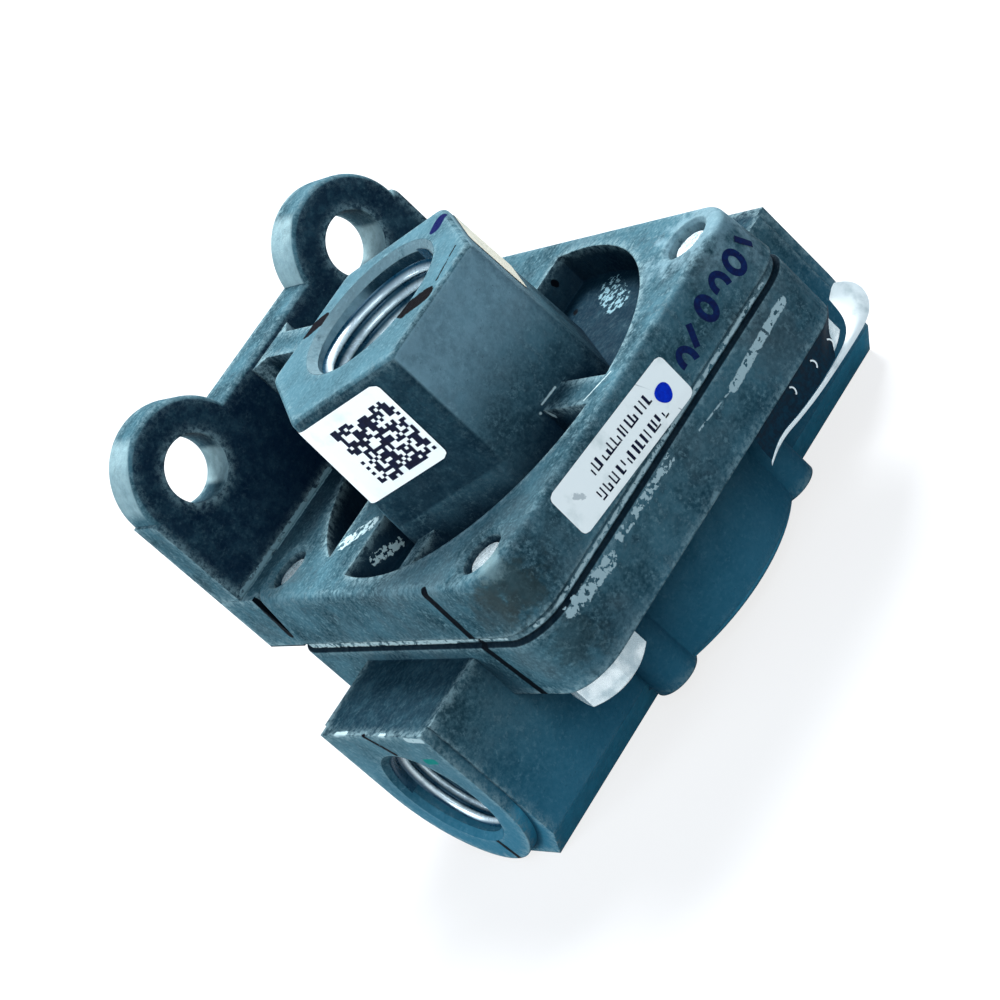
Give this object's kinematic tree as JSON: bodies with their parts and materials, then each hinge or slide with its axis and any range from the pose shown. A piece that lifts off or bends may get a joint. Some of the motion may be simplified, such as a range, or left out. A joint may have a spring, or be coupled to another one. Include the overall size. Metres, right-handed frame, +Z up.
{
  "type": "quick release valve",
  "caption": "Air brake quick release valve: cast body and cover clamped by screws, threaded supply port on top, delivery ports at the sides, exhaust below, and a bracket with bolt holes.",
  "frame": {"origin": "centre of the exhaust port's mouth, on the flat underside", "axes": "+Z up the supply port's axis, +X along the line through the two delivery ports, +Y towards the bracket's back face"},
  "size_m": [0.0854, 0.0697, 0.0638],
  "materials": {
    "cover_casting": "die cast, matt",
    "body_casting": "die cast, matt",
    "screw_steel": "zinc plated, satin",
    "steel": "satin",
    "rubber": "matt"
  },
  "bodies": {
    "housing": {"cover": "cover_casting", "bracket": "cover_casting", "body": "body_casting", "cover_seal": "rubber", "diaphragm_spring": "steel", "screw_1": "screw_steel", "screw_2": "screw_steel", "screw_3": "screw_steel", "screw_4": "screw_steel"},
    "valve_element": {"diaphragm": "rubber", "seat_ring": "steel"}
  },
  "joints": [
    {"name": "diaphragm_slide", "type": "slide", "parent": "housing", "child": "valve_element", "axis": [0, 0, -1], "range_m": [0, 0.0022], "stiffness_N_per_m": 800, "springref_m": -0.004, "deforming": ["diaphragm_spring"]}
  ]
}
